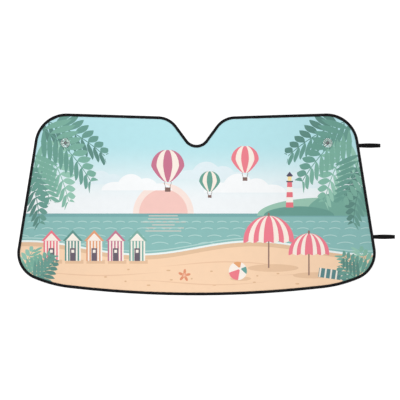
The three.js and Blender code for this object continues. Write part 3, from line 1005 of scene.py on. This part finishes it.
leg_stops = []
for station in range(LOOP_STATIONS + 1):
    leg_stops.append(-LOOP_TAIL + (tip_centre + LOOP_TAIL) * station / LOOP_STATIONS)
loop_line = [(x, -leg_bow(x), ELASTIC_THICKNESS / 2) for x in leg_stops]
for station in range(1, TIP_STATIONS):
    angle = math.pi * (station / TIP_STATIONS - 0.5)
    tip_x = tip_centre + tip_radius * math.cos(angle)
    loop_line.append((tip_x, 0, tip_middle + tip_radius * math.sin(angle)))
loop_line += [(x, leg_bow(x), 1.5 * ELASTIC_THICKNESS + leg_gap(x)) for x in reversed(leg_stops)]

elastic_section = []
for step in range(ACROSS_STEPS):
    angle = 2 * math.pi * step / ACROSS_STEPS
    aside = math.copysign(abs(math.cos(angle)) ** ACROSS_CROWDING, math.cos(angle))
    fullness = (1 - abs(aside) ** EDGE_SQUARENESS) ** 0.5
    groove = RIB_DEPTH / ELASTIC_THICKNESS * (1 - math.cos(math.pi * ELASTIC_RIBS * (aside + 1)))
    height = math.copysign(fullness, math.sin(angle)) * (1 - groove)
    elastic_section.append((aside * ELASTIC_WIDTH / 2, height * ELASTIC_THICKNESS / 2))

elastic = woven_black("black_elastic", (7, 6, 7), (26, 22, 22), 0.8, 1.0, 0.75)
for name, node, loop_y in (
    ("elastic_upper", "elastic_loop_upper", UPPER_LOOP_Y),
    ("elastic_lower", "elastic_loop_lower", LOWER_LOOP_Y),
):
    node_low, node_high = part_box(node)
    root_x = (node_high.x - PANEL_MIDDLE) / MM - LOOP_REACH
    points = []
    for number, (x, bow, z) in enumerate(loop_line):
        before = loop_line[max(number - 1, 0)]
        after = loop_line[min(number + 1, len(loop_line) - 1)]
        forward = Vector((after[0] - before[0], after[2] - before[2])).normalized()
        for aside, height in elastic_section:
            points.append((root_x + x - forward.y * height, loop_y + bow + aside, z + forward.x * height))
    count = len(elastic_section)
    faces = [tuple(range(count))[::-1], tuple(range(len(points) - count, len(points)))]
    for station in range(len(loop_line) - 1):
        here = station * count
        there = here + count
        for step in range(count):
            beside = (step + 1) % count
            faces.append((here + step, here + beside, there + beside, there + step))
    loop = new_piece(name, points, faces)
    loop_map = loop.data.uv_layers.new(name="elastic")
    for face in loop.data.polygons:
        for corner, vertex in zip(face.loop_indices, face.vertices):
            station, step = divmod(vertex, count)
            loop_map.data[corner].uv = (station * STATION_LENGTH * MM, elastic_section[step][0] * MM)
    face_outwards(loop)
    smooth(loop, 50)
    loop.data.materials.append(elastic)
    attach(loop, "root")
    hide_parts(node)

# Suction cups: clear soft vinyl, moulded in one piece with a neck and a button head that is pushed
# through a hole in the sheet.
CUP_RADIUS = 17
CUP_LIP = 1.6
CUP_HEIGHT = 8
CUP_FLOOR = 4.2
CUP_RIM = 0.8
SHOULDER_RADIUS = 6.5
SHOULDER_HEIGHT = 1.5
HEAD_RADIUS = 6
HEAD_HEIGHT = 3.2
HEAD_SIDE = 1.2
HEAD_ROUNDING = 0.5
NECK_ROUNDING = 0.4
RIM_ROUNDING = 0.3
CURVE_STEPS = 10


def bend_between(start, pull, end):
    """Points on a curve that leaves start towards pull and reaches end from it."""
    points = []
    for step in range(CURVE_STEPS + 1):
        t = step / CURVE_STEPS
        points.append(Vector(start) * (1 - t) ** 2 + Vector(pull) * 2 * t * (1 - t) + Vector(end) * t * t)
    return points


def round_corner(corner, arriving, leaving):
    """The way round a corner. It begins and ends at those steps from it."""
    x, y = corner
    return bend_between((x + arriving[0], y + arriving[1]), corner, (x + leaving[0], y + leaving[1]))


head_top = -SHEET_THICKNESS - CLEARANCE
head_foot = head_top - HEAD_HEIGHT
mouth = CUP_RADIUS - CUP_LIP
shoulder = CLEARANCE + SHOULDER_HEIGHT
cup_profile = [
    *bend_between(
        (HEAD_RADIUS / 2, head_foot),
        (HEAD_RADIUS, head_foot),
        (HEAD_RADIUS, head_top - HEAD_SIDE),
    ),
    *round_corner((HEAD_RADIUS, head_top), (0, -HEAD_ROUNDING), (-HEAD_ROUNDING, 0)),
    *round_corner((CUP_NECK_RADIUS, head_top), (NECK_ROUNDING, 0), (0, NECK_ROUNDING)),
    *round_corner((CUP_NECK_RADIUS, CLEARANCE), (0, -NECK_ROUNDING), (NECK_ROUNDING, 0)),
    *round_corner((SHOULDER_RADIUS, CLEARANCE), (-NECK_ROUNDING, 0), (0, NECK_ROUNDING)),
    *bend_between(
        (SHOULDER_RADIUS, shoulder),
        ((SHOULDER_RADIUS + CUP_RADIUS) / 2, shoulder),
        (CUP_RADIUS, CUP_HEIGHT - CUP_RIM),
    ),
    *round_corner((CUP_RADIUS, CUP_HEIGHT), (0, -RIM_ROUNDING), (-RIM_ROUNDING, 0)),
    *bend_between((mouth, CUP_HEIGHT), (mouth / 2, CUP_FLOOR), (0, CUP_FLOOR))[:-1],
]

# Clear vinyl, with a slight haze, and painted shade round each cup's axis: its colour turns dark where its
# neck and head are seen end on, in place of the shadow seen through them
vinyl, vinyl_nodes, vinyl_links, vinyl_surface = new_finish("clear_vinyl")
vinyl_surface.inputs["Transmission Weight"].default_value = 0.74
vinyl_surface.inputs["IOR"].default_value = 1.5
vinyl_surface.inputs["Alpha"].default_value = 0.62
vinyl_place = vinyl_nodes.new("ShaderNodeTexCoord").outputs["Object"]
haze = patches(vinyl_nodes, vinyl_links, vinyl_place, 180)
vinyl_links.new((haze * 0.12 + 0.04).socket, vinyl_surface.inputs["Roughness"])
vinyl_parts = vinyl_nodes.new("ShaderNodeSeparateXYZ")
vinyl_links.new(vinyl_place, vinyl_parts.inputs[0])
from_axis_x = abs(Field(vinyl_parts.outputs["X"], vinyl_nodes, vinyl_links) - PANEL_MIDDLE) - CUP_X * MM
from_axis_y = Field(vinyl_parts.outputs["Y"], vinyl_nodes, vinyl_links) - (PANEL_FOOT + CUP_Y * MM)
from_axis = (from_axis_x * from_axis_x + from_axis_y * from_axis_y).root()
# Painted shade: 0 on the cup's axis, where the colour is dark, and 1 beyond its shoulder, where the vinyl
# is clear
clear_of_hub_shade = from_axis.smooth_between(CUP_NECK_RADIUS * MM, 1.2 * SHOULDER_RADIUS * MM) * (haze * 0.04 + 0.97)
vinyl_links.new(tone_between(clear_of_hub_shade, (58, 56, 60), (250, 252, 252)), vinyl_surface.inputs["Base Color"])

for name, node, cup_x in (
    ("suction_cup_on_the_left", "suction_cup_left", -CUP_X),
    ("suction_cup_on_the_right", "suction_cup_right", CUP_X),
):
    bpy.ops.object.select_all(action="DESELECT")
    bpy.ops.mesh.primitive_circle_add(vertices=CUP_SIDES, radius=cup_profile[0].x * MM)
    cup = bpy.context.object
    cup.name = name
    bpy.ops.object.mode_set(mode="EDIT")
    bpy.ops.transform.translate(value=(0, 0, cup_profile[0].y * MM))
    for before, ring in zip(cup_profile, cup_profile[1:]):
        bpy.ops.mesh.extrude_region_move(TRANSFORM_OT_translate={"value": (0, 0, (ring.y - before.y) * MM)})
        bpy.ops.transform.resize(value=(ring.x / before.x, ring.x / before.x, 1))
    bpy.ops.mesh.extrude_region_move()
    bpy.ops.mesh.merge(type="CENTER")
    bpy.ops.mesh.select_all(action="DESELECT")
    bpy.ops.mesh.select_non_manifold()
    bpy.ops.mesh.extrude_region_move()
    bpy.ops.mesh.merge(type="CENTER")
    bpy.ops.object.mode_set(mode="OBJECT")
    face_outwards(cup)
    cup.data.transform(cup_placement(cup_x))
    smooth(cup, 50)
    cup.data.materials.append(vinyl)
    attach(cup, "root")
    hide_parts(node)

# Floor and studio light: a white table in an even white room, between two soft round lamps that stand
# beyond the notch and before the lower edge.
FLOOR_SIZE = 8
FLOOR_GLOW = 0.5
ROOM_LEVEL = 0.58
LAMP_MIDDLE = (-0.16, 0, 0)
LAMP_ASIDE = 1.0
LAMP_RISE = 1.5
LAMP_SIZE = 0.7
LAMP_POWER = 7.8


def seen_directly(nodes, links):
    """1 where the camera sees the white, straight on or by way of a shiny piece, and 0 for its light."""
    rays = nodes.new("ShaderNodeLightPath")
    seen = Field(rays.outputs["Is Camera Ray"], nodes, links)
    seen = seen | Field(rays.outputs["Is Glossy Ray"], nodes, links)
    return seen | Field(rays.outputs["Is Transmission Ray"], nodes, links)


bpy.ops.object.select_all(action="DESELECT")
bpy.ops.mesh.primitive_plane_add(size=FLOOR_SIZE)
floor = bpy.context.object
floor.name = "floor"
white_table, table_nodes, table_links, table_surface = new_finish("white_table")
table_surface.inputs["Base Color"].default_value = (0.9, 0.9, 0.9, 1)
table_surface.inputs["Roughness"].default_value = 0.9
glow = table_nodes.new("ShaderNodeEmission")
table_glow = seen_directly(table_nodes, table_links) * FLOOR_GLOW
table_links.new(table_glow.socket, glow.inputs["Strength"])
both = table_nodes.new("ShaderNodeAddShader")
table_links.new(table_surface.outputs[0], both.inputs[0])
table_links.new(glow.outputs[0], both.inputs[1])
table_links.new(both.outputs[0], table_nodes["Material Output"].inputs["Surface"])
floor.data.materials.append(white_table)

room = bpy.data.worlds.new("room")
room.use_nodes = True
room_nodes = room.node_tree.nodes
room_links = room.node_tree.links
room_nodes["Background"].inputs["Color"].default_value = (1, 1, 1, 1)
room_level = seen_directly(room_nodes, room_links) * (1 - ROOM_LEVEL) + ROOM_LEVEL
room_links.new(room_level.socket, room_nodes["Background"].inputs["Strength"])
bpy.context.scene.world = room

for lamp_name, side in (("lamp_beyond", 1), ("lamp_before", -1)):
    lamp_light = bpy.data.lights.new(lamp_name, "AREA")
    lamp_light.shape = "DISK"
    lamp_light.size = LAMP_SIZE
    lamp_light.energy = LAMP_POWER
    lamp = bpy.data.objects.new(lamp_name, lamp_light)
    towards = Vector((0, side * LAMP_ASIDE, LAMP_RISE))
    lamp.location = Vector(LAMP_MIDDLE) + towards
    lamp.rotation_euler = towards.to_track_quat("Z", "Y").to_euler()
    lamp.visible_camera = False
    bpy.context.scene.collection.objects.link(lamp)

bpy.context.scene.view_settings.view_transform = "Standard"
